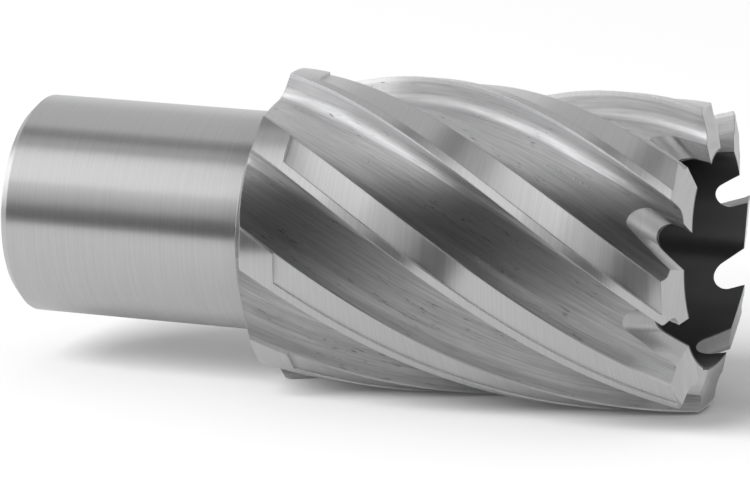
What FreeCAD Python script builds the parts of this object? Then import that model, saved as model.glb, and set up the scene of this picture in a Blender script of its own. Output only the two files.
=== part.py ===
import FreeCAD, Part
import os
from math import cos, radians, sin
from Sketcher import Constraint

# A one-piece annular cutter: a plain shank with two drive flats, a fluted body
# round an open cavity for the slug, and a ring of teeth at the front.
# The axis is Z, the end face of the shank lies at z = 0 and the teeth point up.

SIZES = {
    # shank
    "shank_diameter": 19.05,
    "shank_length": 22.1,
    "shank_chamfer": 0.8,
    "flat_depth": 1.6,
    "flat_length": 12.0,
    "flat_start": 6.5,
    "flat_azimuth": 60.0,
    # body and its bores; body_length runs from the shank to the cutting tips
    "body_diameter": 27.0,
    "body_length": 40.0,
    "shoulder_rise": 1.9,
    "rim_drop": 1.05,
    "rim_bevel": 30.0,
    "pilot_bore": 6.35,
    "bore_chamfer": 0.5,
    "bore_countersink": 1.2,
    "slug_diameter": 18.6,
    "slug_depth": 34.0,
    # flutes and lands
    "flute_count": 8,
    "helix_lead": 138.0,
    "flute_depth": 2.5,
    "deepest_angle": 5.7,
    "rake_angle": 6.0,
    "rake_fillet": 1.0,
    "heel_lean": 15.0,
    "heel_fillet": 1.4,
    "land_width": 3.5,
    "margin_width": 0.9,
    "relief_depth": 0.15,
    "relief_setback": 3.0,
    # teeth and gullets; gullet_wall is the web left outside the gullet's profile plane
    "corner_azimuth": -5.8,
    "back_clearance": 7.4,
    "outward_slope": 10.8,
    "gullet_wall": 1.6,
    "gullet_depth": 6.0,
    "gullet_side": -0.5,
    "gullet_radius": 1.2,
    "gullet_rake": 20.0,
    "gullet_back": 50.0,
    "gullet_skew": 28.8,
    "gullet_rise": 46.9,
}

doc = FreeCAD.newDocument("annular_cutter")
sheet = doc.addObject("Spreadsheet::Sheet", "sizes")
for row, (alias, number) in enumerate(SIZES.items(), start=1):
    sheet.set("A%d" % row, alias)
    sheet.set("B%d" % row, str(number))
    sheet.setAlias("B%d" % row, alias)
doc.recompute()

cutter = doc.addObject("PartDesign::Body", "annular_cutter")
cutter.Label = "annular_cutter"

# Cuts start and end this far outside the stock.
OVERRUN = 1.0

# Radii and heights that several features share.
SHANK = "sizes.shank_diameter / 2"
BODY = "sizes.body_diameter / 2"
OUTSIDE = "(%s + %g)" % (BODY, OVERRUN)
SLUG = "sizes.slug_diameter / 2"
SHOULDER = "(sizes.shank_length + sizes.shoulder_rise)"
TIPS = "(sizes.shank_length + sizes.body_length)"
RIM = "(%s - sizes.rim_drop)" % TIPS
ABOVE = "(%s + %g)" % (TIPS, OVERRUN)

# Angles round the axis.
SECTOR = "(360 / sizes.flute_count)"
LAND = "(360 * sizes.land_width / (pi * sizes.body_diameter))"
MARGIN = "(360 * sizes.margin_width / (pi * sizes.body_diameter))"


def origin_part(role):
    return [part for part in cutter.Origin.OriginFeatures if part.Role == role][0]


def new_sketch(name, role):
    sketch = cutter.newObject("Sketcher::SketchObject", name)
    sketch.AttachmentSupport = [(origin_part(role), "")]
    sketch.MapMode = "FlatFace"
    return sketch


def bind(sketch, kind, *where, to):
    """Add a constraint whose value follows an expression. In where, an edge's
    point 1 is its start, 2 its end and 3 its centre, and (-1, 1) is the origin."""
    number = sketch.evalExpression(to)
    if kind == "Angle":
        number = radians(number)
    index = sketch.addConstraint(Constraint(kind, *where, number))
    sketch.setExpression("Constraints[%d]" % index, to)


def outline(sketch, corners):
    """Closed chain of straight edges through the corners."""
    count = len(corners)
    for index in range(count):
        sketch.addGeometry(Part.LineSegment(corners[index], corners[(index + 1) % count]))
    for index in range(count):
        sketch.addConstraint(Constraint("Coincident", index, 2, (index + 1) % count, 1))


def polygon(sketch, corners):
    """Outline with each corner at two expressions."""
    outline(sketch, [FreeCAD.Vector(sketch.evalExpression(across), sketch.evalExpression(up), 0)
                     for across, up in corners])
    for index, (across, up) in enumerate(corners):
        bind(sketch, "DistanceX", -1, 1, index, 1, to=across)
        bind(sketch, "DistanceY", -1, 1, index, 1, to=up)


def round_corner(sketch, edge, radius):
    """Round the corner at the end of an edge; return the arc's index."""
    sketch.fillet(edge, 2, sketch.evalExpression(radius))
    arc = sketch.GeometryCount - 1
    bind(sketch, "Radius", arc, to=radius)
    return arc


def polar(radius, azimuth):
    return FreeCAD.Vector(radius * cos(radians(azimuth)), radius * sin(radians(azimuth)), 0)


def turned_blank():
    """Shank, body and bores as they come off the lathe, with the front left high."""
    sketch = new_sketch("blank_section", "XZ_Plane")
    bore = "sizes.pilot_bore / 2"
    slug_floor = "%s - sizes.slug_depth" % TIPS
    bevel = "(sizes.rim_drop + %g) / tan(sizes.rim_bevel)" % OVERRUN
    polygon(sketch, [
        (bore + " + sizes.bore_chamfer", "0"),
        (SHANK + " - sizes.shank_chamfer", "0"),
        (SHANK, "sizes.shank_chamfer"),
        (SHANK, "sizes.shank_length"),
        (BODY, SHOULDER),
        (BODY, RIM),
        ("%s - %s" % (BODY, bevel), ABOVE),
        (SLUG, ABOVE),
        (SLUG, slug_floor),
        (bore + " + sizes.bore_countersink", slug_floor),
        (bore, slug_floor + " - sizes.bore_countersink"),
        (bore, "sizes.bore_chamfer"),
    ])
    blank = cutter.newObject("PartDesign::Revolution", "turned_blank")
    blank.Profile = sketch
    blank.ReferenceAxis = (sketch, ["V_Axis"])
    blank.Angle = 360
    return blank


def face_outward(sketch, azimuth, distance):
    """Stand a sketch of the YZ plane square to the radius at an azimuth."""
    sketch.AttachmentOffset = FreeCAD.Placement(
        FreeCAD.Vector(0, 0, 1), FreeCAD.Rotation(FreeCAD.Vector(0, 1, 0), 1))
    sketch.setExpression("AttachmentOffset.Base.x", "(%s) * sin(%s)" % (distance, azimuth))
    sketch.setExpression("AttachmentOffset.Base.z", "(%s) * cos(%s)" % (distance, azimuth))
    sketch.setExpression("AttachmentOffset.Rotation.Angle", azimuth)


def repeat(name, cuts, turn, count):
    """Repeat cuts about the axis."""
    pattern = cutter.newObject("PartDesign::PolarPattern", name)
    pattern.Originals = cuts
    pattern.Axis = (origin_part("Z_Axis"), [""])
    pattern.setExpression("Angle", turn)
    pattern.setExpression("Occurrences", count)
    pattern.Refine = False
    cutter.Tip = pattern
    return pattern


def drive_flats():
    """Two milled flats at a right angle, where the arbor's screws press."""
    sketch = new_sketch("flat_outline", "YZ_Plane")
    face_outward(sketch, "sizes.flat_azimuth", SHANK + " - sizes.flat_depth")
    side = "(%s + %g)" % (SHANK, OVERRUN)
    end = "sizes.flat_start + sizes.flat_length"
    polygon(sketch, [("-" + side, "sizes.flat_start"), (side, "sizes.flat_start"),
                     (side, end), ("-" + side, end)])
    flat = cutter.newObject("PartDesign::Pocket", "drive_flat")
    flat.Profile = sketch
    flat.Type = "Length"
    flat.setExpression("Length", "sizes.flat_depth + %g" % OVERRUN)
    flat.Reversed = True
    return repeat("drive_flats", [flat], "90", "2")


def across_axis(sketch, height):
    """Lay a section across the axis, turned so that the helix brings its leading
    corner to corner_azimuth at the height of the rim."""
    sketch.AttachmentOffset = FreeCAD.Placement(
        FreeCAD.Vector(0, 0, 1), FreeCAD.Rotation(FreeCAD.Vector(0, 0, 1), 1))
    sketch.setExpression("AttachmentOffset.Base.z", height)
    sketch.setExpression("AttachmentOffset.Rotation.Angle",
                         "sizes.corner_azimuth - 360 * (%s - %s) / sizes.helix_lead" % (RIM, height))


def helical_cut(name, sketch, height):
    """Sweep a section up the helix, from its height to above the tips."""
    cut = cutter.newObject("PartDesign::SubtractiveHelix", name)
    cut.Profile = sketch
    cut.ReferenceAxis = (origin_part("Z_Axis"), [""])
    cut.Mode = "pitch-height-angle"
    cut.setExpression("Pitch", "sizes.helix_lead")
    cut.setExpression("Height", "%s + %g - %s" % (ABOVE, OVERRUN, height))
    cut.Refine = False
    return cut


def flute():
    """One helical flute: a raked wall under the leading edge of a land, a nearly
    flat floor that is deepest by the wall, and a leaning heel on the far side."""
    start = "(sizes.shank_length - %g)" % OVERRUN
    width = "(%s - %s)" % (SECTOR, LAND)
    floor_distance = BODY + " - sizes.flute_depth"
    sketch = new_sketch("flute_section", "XY_Plane")
    across_axis(sketch, start)
    opening = sketch.evalExpression(width)
    outer = sketch.evalExpression(OUTSIDE)
    inner = sketch.evalExpression(floor_distance)
    outline(sketch, [polar(outer, 0), polar(inner, -1), polar(inner, 0.85 * opening),
                     polar(outer, opening)])
    wall, floor, heel, mouth = range(4)
    bind(sketch, "Angle", wall, to="180 + sizes.rake_angle")
    bind(sketch, "Distance", -1, 1, wall, to=BODY + " * sin(sizes.rake_angle)")
    bind(sketch, "Angle", floor, to="90 + sizes.deepest_angle")
    bind(sketch, "Distance", -1, 1, floor, to=floor_distance)
    bind(sketch, "Angle", heel, to=width + " + sizes.heel_lean")
    bind(sketch, "Distance", -1, 1, heel, to=BODY + " * sin(sizes.heel_lean)")
    bind(sketch, "Distance", -1, 1, mouth, 1, to=OUTSIDE)
    bind(sketch, "Distance", -1, 1, mouth, 2, to=OUTSIDE)
    doc.recompute()
    round_corner(sketch, wall, "sizes.rake_fillet")
    round_corner(sketch, floor, "sizes.heel_fillet")
    return helical_cut("flute", sketch, start)


def land_relief():
    """The strip ground a little lower behind the narrow margin of each land."""
    start = "(%s + sizes.relief_setback)" % SHOULDER
    sketch = new_sketch("relief_section", "XY_Plane")
    across_axis(sketch, start)
    front = "-%s" % MARGIN
    back = "-(%s + 5)" % LAND
    low = "(%s - sizes.relief_depth)" % BODY
    polygon(sketch, [("%s * cos(%s)" % corner, "%s * sin(%s)" % corner)
                     for corner in ((low, front), (OUTSIDE, front), (OUTSIDE, back), (low, back))])
    return helical_cut("land_relief", sketch, start)


def inward(name, sketch, depth):
    """Pocket from a sketch of the YZ plane towards the axis, aslant."""
    cut = cutter.newObject("PartDesign::Pocket", name)
    cut.Profile = sketch
    cut.Type = "Length"
    cut.UseCustomVector = True
    cut.Direction = FreeCAD.Vector(-1, 0, 1)
    cut.AlongSketchNormal = True
    cut.setExpression("Length", depth)
    cut.Refine = False
    return cut


def gullet():
    """One gullet, ground through the web from a flute into the cavity: a round
    root, a raked face under the cutting edge and a slope up to the next tooth."""
    seat = "(%s - sizes.gullet_wall)" % BODY
    centre = "(%s - sizes.gullet_depth + sizes.gullet_radius)" % TIPS
    sketch = new_sketch("gullet_profile", "YZ_Plane")
    face_outward(sketch, "0", seat)
    side = sketch.evalExpression("sizes.gullet_side")
    middle = sketch.evalExpression(centre)
    top = sketch.evalExpression(ABOVE)
    spread = top - middle
    outline(sketch, [FreeCAD.Vector(side, middle - 1, 0), FreeCAD.Vector(side + spread, top, 0),
                     FreeCAD.Vector(side - 1, top, 0)])
    back, lid, face = range(3)
    bind(sketch, "Angle", back, to="sizes.gullet_back")
    bind(sketch, "Angle", face, to="-90 - sizes.gullet_rake")
    sketch.addConstraint(Constraint("Horizontal", lid))
    bind(sketch, "DistanceY", -1, 1, lid, 1, to=ABOVE)
    doc.recompute()
    root = round_corner(sketch, face, "sizes.gullet_radius")
    bind(sketch, "DistanceX", -1, 1, root, 3, to="sizes.gullet_side")
    bind(sketch, "DistanceY", -1, 1, root, 3, to=centre)
    cut = inward("gullet", sketch, "%s - %s / sqrt(2)" % (seat, SLUG))
    cut.setExpression("Direction.y", "tan(sizes.gullet_skew)")
    cut.setExpression("Direction.z", "tan(sizes.gullet_rise) / cos(sizes.gullet_skew)")
    return cut


def tooth_front():
    """The front of one tooth: it falls away behind the cutting edge and outward
    from the cavity, and leaves the narrow bevel at the rim."""
    sketch = new_sketch("front_profile", "YZ_Plane")
    face_outward(sketch, "0", OUTSIDE)
    behind = "(-%s * sin(0.55 * %s))" % (BODY, SECTOR)
    ahead = "(%s * sin(0.16 * %s))" % (BODY, SECTOR)
    level = "%s - (%s - %s) * tan(sizes.outward_slope)" % (TIPS, OUTSIDE, SLUG)
    slope = level + " + %s * tan(sizes.back_clearance)"
    above = "%s + %g" % (ABOVE, OVERRUN)
    polygon(sketch, [(behind, slope % behind), (ahead, slope % ahead),
                     (ahead, above), (behind, above)])
    cut = inward("tooth_front", sketch, OUTSIDE)
    cut.setExpression("Direction.z", "tan(sizes.outward_slope)")
    return cut


def volume_after(feature):
    """Recompute, refuse a failed feature and return the volume it leaves."""
    doc.recompute()
    if "Invalid" in feature.State or "Error" in feature.State or feature.Shape.isNull():
        raise RuntimeError(feature.Name + " failed")
    return feature.Shape.Volume


def ring(name, *cuts):
    return repeat(name, [cut() for cut in cuts], "360", "sizes.flute_count")


volume = volume_after(turned_blank())
for make in (drive_flats,
             lambda: ring("flutes", flute, land_relief),
             lambda: ring("gullets", gullet),
             lambda: ring("tooth_fronts", tooth_front)):
    left = volume_after(make())
    if left >= volume:
        raise RuntimeError(cutter.Tip.Name + " removed nothing")
    volume = left

for thing in doc.Objects:
    if "Invalid" in thing.State or "Error" in thing.State:
        raise RuntimeError(thing.Name + " failed")
if cutter.Shape.isNull() or not cutter.Shape.isValid() or len(cutter.Shape.Solids) != 1:
    raise RuntimeError("annular_cutter is not one valid solid")

os.makedirs("parts", exist_ok=True)
cutter.Shape.exportStep("parts/%s.step" % cutter.Label)
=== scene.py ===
import math

import bpy
from mathutils import Matrix

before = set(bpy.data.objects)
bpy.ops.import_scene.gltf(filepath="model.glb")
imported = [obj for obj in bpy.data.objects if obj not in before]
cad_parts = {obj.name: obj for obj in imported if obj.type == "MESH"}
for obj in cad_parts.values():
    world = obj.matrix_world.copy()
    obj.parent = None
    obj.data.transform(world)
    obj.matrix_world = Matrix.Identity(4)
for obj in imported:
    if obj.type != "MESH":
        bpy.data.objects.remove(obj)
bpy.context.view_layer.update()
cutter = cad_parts["annular_cutter"]
scene = bpy.context.scene
scene.view_settings.view_transform = "Standard"


# The camera looks at the cutter's side, turned 19 degrees towards its teeth, from a little
# over 0.4 m away through a long lens. It is rolled, so that the shank lies at the left.
camera_data = bpy.data.cameras.new("camera")
camera_data.lens = 236.44
camera_data.sensor_width = 36
camera_data.sensor_fit = "HORIZONTAL"
camera_data.clip_start = 0.02
camera = bpy.data.objects.new("camera", camera_data)
scene.collection.objects.link(camera)
camera.matrix_world = Matrix(
    (
        (-0.160694, -0.961831, 0.221491, 0.0957976),
        (0.296405, -0.261076, -0.918686, -0.3900121),
        (0.941447, -0.081976, 0.327045, 0.1704859),
        (0, 0, 0, 1),
    )
)
scene.camera = camera


# The room round the cutter is plain white on every side and evenly lit. Ground steel has
# little colour of its own, so most of its look is this room's reflection.
world = bpy.data.worlds.new("white_room")
world.use_nodes = True
world.node_tree.nodes["Background"].inputs["Color"].default_value = (1, 1, 1, 1)
world.node_tree.nodes["Background"].inputs["Strength"].default_value = 1
scene.world = world


# The table is a wide board of matt white card. The cutter lies against it, touching it with
# the lands of one side, and it is seen only from the side that the cutter is on.
def colour(hex_code):
    """An sRGB hex colour as the linear values that a shader takes."""
    parts = [int(hex_code[i : i + 2], 16) / 255 for i in (1, 3, 5)]
    return [p / 12.92 if p < 0.04045 else ((p + 0.055) / 1.055) ** 2.4 for p in parts] + [1]


def node(tree, kind, settings=None, links=None):
    """Adds a shader node with its settings and links, and returns the socket that it gives."""
    new = tree.nodes.new(kind)
    for name, value in (settings or {}).items():
        if isinstance(name, int) or name in new.inputs:
            new.inputs[name].default_value = value
        else:
            setattr(new, name, value)
    for name, source in (links or {}).items():
        tree.links.new(source, new.inputs[name])
    return next((socket for socket in new.outputs if socket.enabled), None)


def blank_material(name):
    """A material with an empty node tree."""
    material = bpy.data.materials.new(name)
    material.use_nodes = True
    material.node_tree.nodes.clear()
    return material, material.node_tree


BODY_RADIUS = 0.0135
TABLE_AZIMUTH = math.radians(26)
TABLE_FRONT = 0.075
TABLE_DEPTH = 1.2
TABLE_LENGTH = 2.4
middle = (TABLE_DEPTH - TABLE_FRONT) / 2
bpy.ops.object.select_all(action="DESELECT")
bpy.ops.mesh.primitive_plane_add(
    size=1,
    location=(
        BODY_RADIUS * math.cos(TABLE_AZIMUTH) - middle * math.sin(TABLE_AZIMUTH),
        BODY_RADIUS * math.sin(TABLE_AZIMUTH) + middle * math.cos(TABLE_AZIMUTH),
        0,
    ),
    rotation=(math.pi / 2, 0, TABLE_AZIMUTH - math.pi / 2),
)
table = bpy.context.active_object
table.name = "table"
table.scale = (TABLE_DEPTH + TABLE_FRONT, TABLE_LENGTH, 1)
bpy.ops.object.transform_apply(location=True, rotation=True, scale=True)

# Matt white card: no gloss, and so bright that only the cutter's shadow shows on it. The
# camera and the steel both see it a little lighter than the lamp alone makes it.
white_card, tree = blank_material("white_card")
rays = node(tree, "ShaderNodeLightPath").node.outputs
either = {"operation": "ADD", "use_clamp": True}
seen = node(tree, "ShaderNodeMath", either, {0: rays["Is Camera Ray"], 1: rays["Is Glossy Ray"]})
seen = node(tree, "ShaderNodeMath", either, {0: seen, 1: rays["Is Transmission Ray"]})
lift = node(tree, "ShaderNodeMath", {"operation": "MULTIPLY", 1: 0.05}, {0: seen})
card = node(tree, "ShaderNodeBsdfDiffuse", {"Color": colour("#B2B2B2")})
glow = node(tree, "ShaderNodeEmission", None, {"Strength": lift})
lit = node(tree, "ShaderNodeAddShader", None, {0: card, 1: glow})
behind = node(tree, "ShaderNodeNewGeometry").node.outputs["Backfacing"]
clear = node(tree, "ShaderNodeBsdfTransparent")
front = node(tree, "ShaderNodeMixShader", None, {0: behind, 1: lit, 2: clear})
node(tree, "ShaderNodeOutputMaterial", None, {"Surface": front})
table.data.materials.append(white_card)

# A large soft lamp stands off the table and gives the cutter its short shadow there. It
# lights the table alone: reflections don't see it, and bare steel shows only those.
LAMP_DISTANCE = 2.0
LAMP_DROP = 1.1
LAMP_AZIMUTH = TABLE_AZIMUTH + math.radians(48)
lamp_data = bpy.data.lights.new("table_lamp", "AREA")
lamp_data.size = 1.8
lamp_data.energy = 134
lamp = bpy.data.objects.new("table_lamp", lamp_data)
scene.collection.objects.link(lamp)
lamp.location = (
    -LAMP_DISTANCE * math.cos(LAMP_AZIMUTH),
    -LAMP_DISTANCE * math.sin(LAMP_AZIMUTH),
    -LAMP_DROP,
)
lamp.rotation_euler = (
    math.pi / 2 + math.atan(LAMP_DROP / LAMP_DISTANCE),
    0,
    LAMP_AZIMUTH - math.pi / 2,
)
lamp.visible_glossy = False
lamp.visible_camera = False


# Cloths and diffusers hang round the table, as they do where steel is photographed, and only
# reflections see them. They put the bright and dark bands along the shank and the flutes.
CAMERA_AZIMUTH = -76.2
CUTTER_MIDDLE = 0.035


def hang(name, turn, elevation, distance, width, height, strength):
    """A flat cloth that faces the cutter, turned so many degrees round from the camera."""
    azimuth = math.radians(turn + CAMERA_AZIMUTH)
    rise = math.radians(elevation)
    bpy.ops.object.select_all(action="DESELECT")
    bpy.ops.mesh.primitive_plane_add(
        size=1,
        location=(
            distance * math.cos(rise) * math.cos(azimuth),
            distance * math.cos(rise) * math.sin(azimuth),
            CUTTER_MIDDLE + distance * math.sin(rise),
        ),
        rotation=(math.pi / 2 - rise, 0, azimuth + math.pi / 2),
    )
    cloth = bpy.context.active_object
    cloth.name = name
    cloth.scale = (width, height, 1)
    bpy.ops.object.transform_apply(location=True, rotation=True, scale=True)
    weave, tree = blank_material(name)
    glow = node(tree, "ShaderNodeEmission", {"Strength": strength})
    node(tree, "ShaderNodeOutputMaterial", None, {"Surface": glow})
    weave.cycles.emission_sampling = "NONE"
    cloth.data.materials.append(weave)
    cloth.visible_camera = False
    cloth.visible_diffuse = False
    cloth.visible_shadow = False
    cloth.visible_transmission = False


hang("diffuser_low", -40, -58, 1.11, 0.8, 1.24, 3.2)
hang("diffuser_high", -35, 52, 1.11, 0.85, 0.6, 1.6)
hang("dark_cloth_front", -22, -5, 0.9, 1.4, 0.55, 0.1)
hang("dark_cloth_low", -2, -29, 0.9, 0.5, 0.34, 0.08)
hang("dark_cloth_side", 15, 0, 0.88, 0.36, 2.2, 0.05)
hang("dark_cloth_strip", -77, -18, 0.88, 0.2, 1.3, 0.2)
hang("dark_cloth_back", -90, 14, 0.9, 1.5, 0.42, 0.15)
hang("grey_cloth_high", -50, 41, 0.86, 1.6, 0.46, 1.1)


# The cutter is one bar of high speed steel: shank and lands ground round, flutes milled
# along the helix, teeth ground across, and the cavity that takes the slug bored out.
HELIX_LEAD_MM = 138
TWIST_PER_MM = 2 * math.pi / HELIX_LEAD_MM
SHOULDER_MM = 22.0
BELOW_LANDS_MM = 13.12
CAVITY_WALL_MM = 9.42

# Ground high speed steel: a bright neutral grey that mirrors the room softly. Its scratches
# draw each highlight out across them, which is what tells a ground face from a milled one.
steel, tree = blank_material("ground_high_speed_steel")
coordinates = node(tree, "ShaderNodeTexCoord").node.outputs
facing = coordinates["Normal"]
millimetres = node(
    tree, "ShaderNodeVectorMath", {"operation": "SCALE", "Scale": 1000}, {0: coordinates["Object"]}
)
across, along, height = node(tree, "ShaderNodeSeparateXYZ", None, {0: millimetres}).node.outputs
outward = node(tree, "ShaderNodeCombineXYZ", None, {0: across, 1: along})
radius = node(tree, "ShaderNodeVectorMath", {"operation": "LENGTH"}, {0: outward})
radial = node(tree, "ShaderNodeVectorMath", {"operation": "NORMALIZE"}, {0: outward})
winding = node(
    tree, "ShaderNodeVectorMath", {"operation": "CROSS_PRODUCT", 0: (0, 0, 1)}, {1: outward}
)
helix = node(
    tree,
    "ShaderNodeVectorMath",
    {"operation": "MULTIPLY_ADD", 1: (TWIST_PER_MM,) * 3, 2: (0, 0, 1)},
    {0: winding},
)

# The bore is what lies inside the cavity's wall, and it is given painted shade below. The flutes
# and the gullets between the teeth lie below the lands, and of the two the flutes alone face
# square to the helix. Their floor faces out; the rest of them is walls and fillets.
on_body = node(
    tree,
    "ShaderNodeMapRange",
    {"From Min": SHOULDER_MM, "From Max": SHOULDER_MM + 0.2},
    {"Value": height},
)
inside = node(
    tree,
    "ShaderNodeMapRange",
    {"From Min": CAVITY_WALL_MM + 0.03, "From Max": CAVITY_WALL_MM},
    {"Value": radius},
)
below = node(
    tree,
    "ShaderNodeMapRange",
    {"From Min": BELOW_LANDS_MM, "From Max": BELOW_LANDS_MM - 0.06},
    {"Value": radius},
)
both = {"operation": "MULTIPLY"}
shaded_bore = node(tree, "ShaderNodeMath", both, {0: on_body, 1: inside})
cut = node(tree, "ShaderNodeMath", both, {0: on_body, 1: below})
cut = node(tree, "ShaderNodeMath", {"operation": "SUBTRACT", "use_clamp": True}, {0: cut, 1: shaded_bore})
dot = {"operation": "DOT_PRODUCT"}
faces_along = node(tree, "ShaderNodeVectorMath", dot, {0: facing, 1: helix})
faces_along = node(tree, "ShaderNodeMath", {"operation": "ABSOLUTE"}, {0: faces_along})
square = node(
    tree, "ShaderNodeMapRange", {"From Min": 0.24, "From Max": 0.14}, {"Value": faces_along}
)
fluted = node(tree, "ShaderNodeMath", both, {0: cut, 1: square})
faces_out = node(tree, "ShaderNodeVectorMath", dot, {0: facing, 1: radial})
open_floor = node(
    tree, "ShaderNodeMapRange", {"From Min": 0.35, "From Max": 0.6}, {"Value": faces_out}
)
floor = node(tree, "ShaderNodeMath", both, {0: fluted, 1: open_floor})

# Grinding scratches are about 0.01 mm apart and milling marks 0.05 mm, both too fine to show
# in the render: they are drawn 0.14 mm and 0.2 mm apart. The marks run along the helix, which
# is unwound by turning each point back by its height. Dull patches are about 1 by 8 mm, and
# torn spots, which come in runs there, 0.2 by 0.8 mm.
SCRATCHES_PER_MM = (0.12, 0.12, 7)
MARKS_PER_MM = (5, 5, 0.22)
PATCHES_PER_MM = (0.9, 0.9, 0.12)
SPOTS_PER_MM = (4, 4, 1.2)
turn = node(tree, "ShaderNodeMath", {"operation": "MULTIPLY", 1: -TWIST_PER_MM}, {0: height})
unwound = node(
    tree,
    "ShaderNodeVectorRotate",
    {"rotation_type": "Z_AXIS"},
    {"Vector": millimetres, "Angle": turn},
)
scratches, streaks, patches, spots = (
    node(
        tree,
        "ShaderNodeTexNoise",
        {"Scale": 1, "Detail": detail, "Roughness": roughness},
        {"Vector": node(tree, "ShaderNodeMapping", {"Scale": per_mm}, {"Vector": place})},
    )
    for place, per_mm, detail, roughness in (
        (millimetres, SCRATCHES_PER_MM, 3, 0.6),
        (unwound, MARKS_PER_MM, 4, 0.6),
        (unwound, PATCHES_PER_MM, 3, 0.6),
        (unwound, SPOTS_PER_MM, 2, 0.5),
    )
)

# Scratches run round the axis where the steel is turned or ground round, along the helix in
# the flutes, and from the axis outwards in the gullets. Highlights stretch square to them.
vectors = {"data_type": "VECTOR"}
tool_path = node(tree, "ShaderNodeMix", vectors, {0: square, 4: radial, 5: helix})
tool_path = node(tree, "ShaderNodeMix", vectors, {0: cut, 4: winding, 5: tool_path})
stretch = node(
    tree, "ShaderNodeVectorMath", {"operation": "CROSS_PRODUCT"}, {0: facing, 1: tool_path}
)

# Ground steel is the lightest, milled steel a little darker with streaks and torn spots. The
# bore is given a dark grey, which is painted shade: it stands for the shade deep in the cavity.
spread = {"From Min": 0.3, "From Max": 0.7}
fine = node(tree, "ShaderNodeMapRange", spread, {"Value": scratches})
coarse = node(tree, "ShaderNodeMapRange", spread, {"Value": streaks})
torn = node(tree, "ShaderNodeMapRange", {"From Min": 0.6, "From Max": 0.72}, {"Value": spots})
runs = node(tree, "ShaderNodeMapRange", {"From Min": 0.5, "From Max": 0.62}, {"Value": patches})
torn = node(tree, "ShaderNodeMath", both, {0: torn, 1: runs})
ground = node(
    tree,
    "ShaderNodeMix",
    {"data_type": "RGBA", 6: colour("#B9B9BA"), 7: colour("#C5C5C6")},
    {0: fine},
)
milled = node(
    tree,
    "ShaderNodeMix",
    {"data_type": "RGBA", 6: colour("#9C9C9D"), 7: colour("#B6B6B7")},
    {0: coarse},
)
milled = node(
    tree, "ShaderNodeMix", {"data_type": "RGBA", 7: colour("#747475")}, {0: torn, 6: milled}
)
tone_and_shade = node(tree, "ShaderNodeMix", {"data_type": "RGBA"}, {0: fluted, 6: ground, 7: milled})
# The bore's dark grey #5E5E5F is painted shade for the inside of the cavity.
tone_and_shade = node(tree, "ShaderNodeMix", {"data_type": "RGBA", 7: colour("#5E5E5F")}, {0: shaded_bore, 6: tone_and_shade})

# The scratches make the gloss uneven, and the dull patches of the flutes more so.
gloss = node(
    tree, "ShaderNodeMapRange", {**spread, "To Min": 0.35, "To Max": 0.41}, {"Value": scratches}
)
dull = node(
    tree, "ShaderNodeMapRange", {**spread, "To Min": -0.1, "To Max": 0.04}, {"Value": patches}
)
finish = node(tree, "ShaderNodeMath", {"operation": "MULTIPLY_ADD"}, {0: floor, 1: dull, 2: gloss})

# Scratches, streaks and torn spots are a few thousandths of a millimetre deep, and
# every sharp edge is worn to about 0.1 mm, which gives it a thin light line.
EDGE_WEAR = 0.00012
pits = node(tree, "ShaderNodeMath", {"operation": "MULTIPLY", 1: -1.2}, {0: torn})
marks = node(tree, "ShaderNodeMath", {"operation": "MULTIPLY_ADD", 1: 1.3}, {0: streaks, 2: pits})
elsewhere = node(
    tree, "ShaderNodeMath", {"operation": "SUBTRACT", 0: 0.6, "use_clamp": True}, {1: floor}
)
rings = node(tree, "ShaderNodeMath", both, {0: scratches, 1: elsewhere})
relief = node(tree, "ShaderNodeMath", {"operation": "MULTIPLY_ADD"}, {0: marks, 1: floor, 2: rings})
worn = node(tree, "ShaderNodeBevel", {"samples": 4, "Radius": EDGE_WEAR})
bump = node(
    tree,
    "ShaderNodeBump",
    {"Strength": 0.12, "Distance": 0.00003},
    {"Height": relief, "Normal": worn},
)
shader = node(
    tree,
    "ShaderNodeBsdfPrincipled",
    {"Metallic": 1.0, "Anisotropic": 1.0},
    {"Base Color": tone_and_shade, "Roughness": finish, "Normal": bump, "Tangent": stretch},
)
node(tree, "ShaderNodeOutputMaterial", None, {"Surface": shader})
for slot in cutter.material_slots:
    slot.material = steel
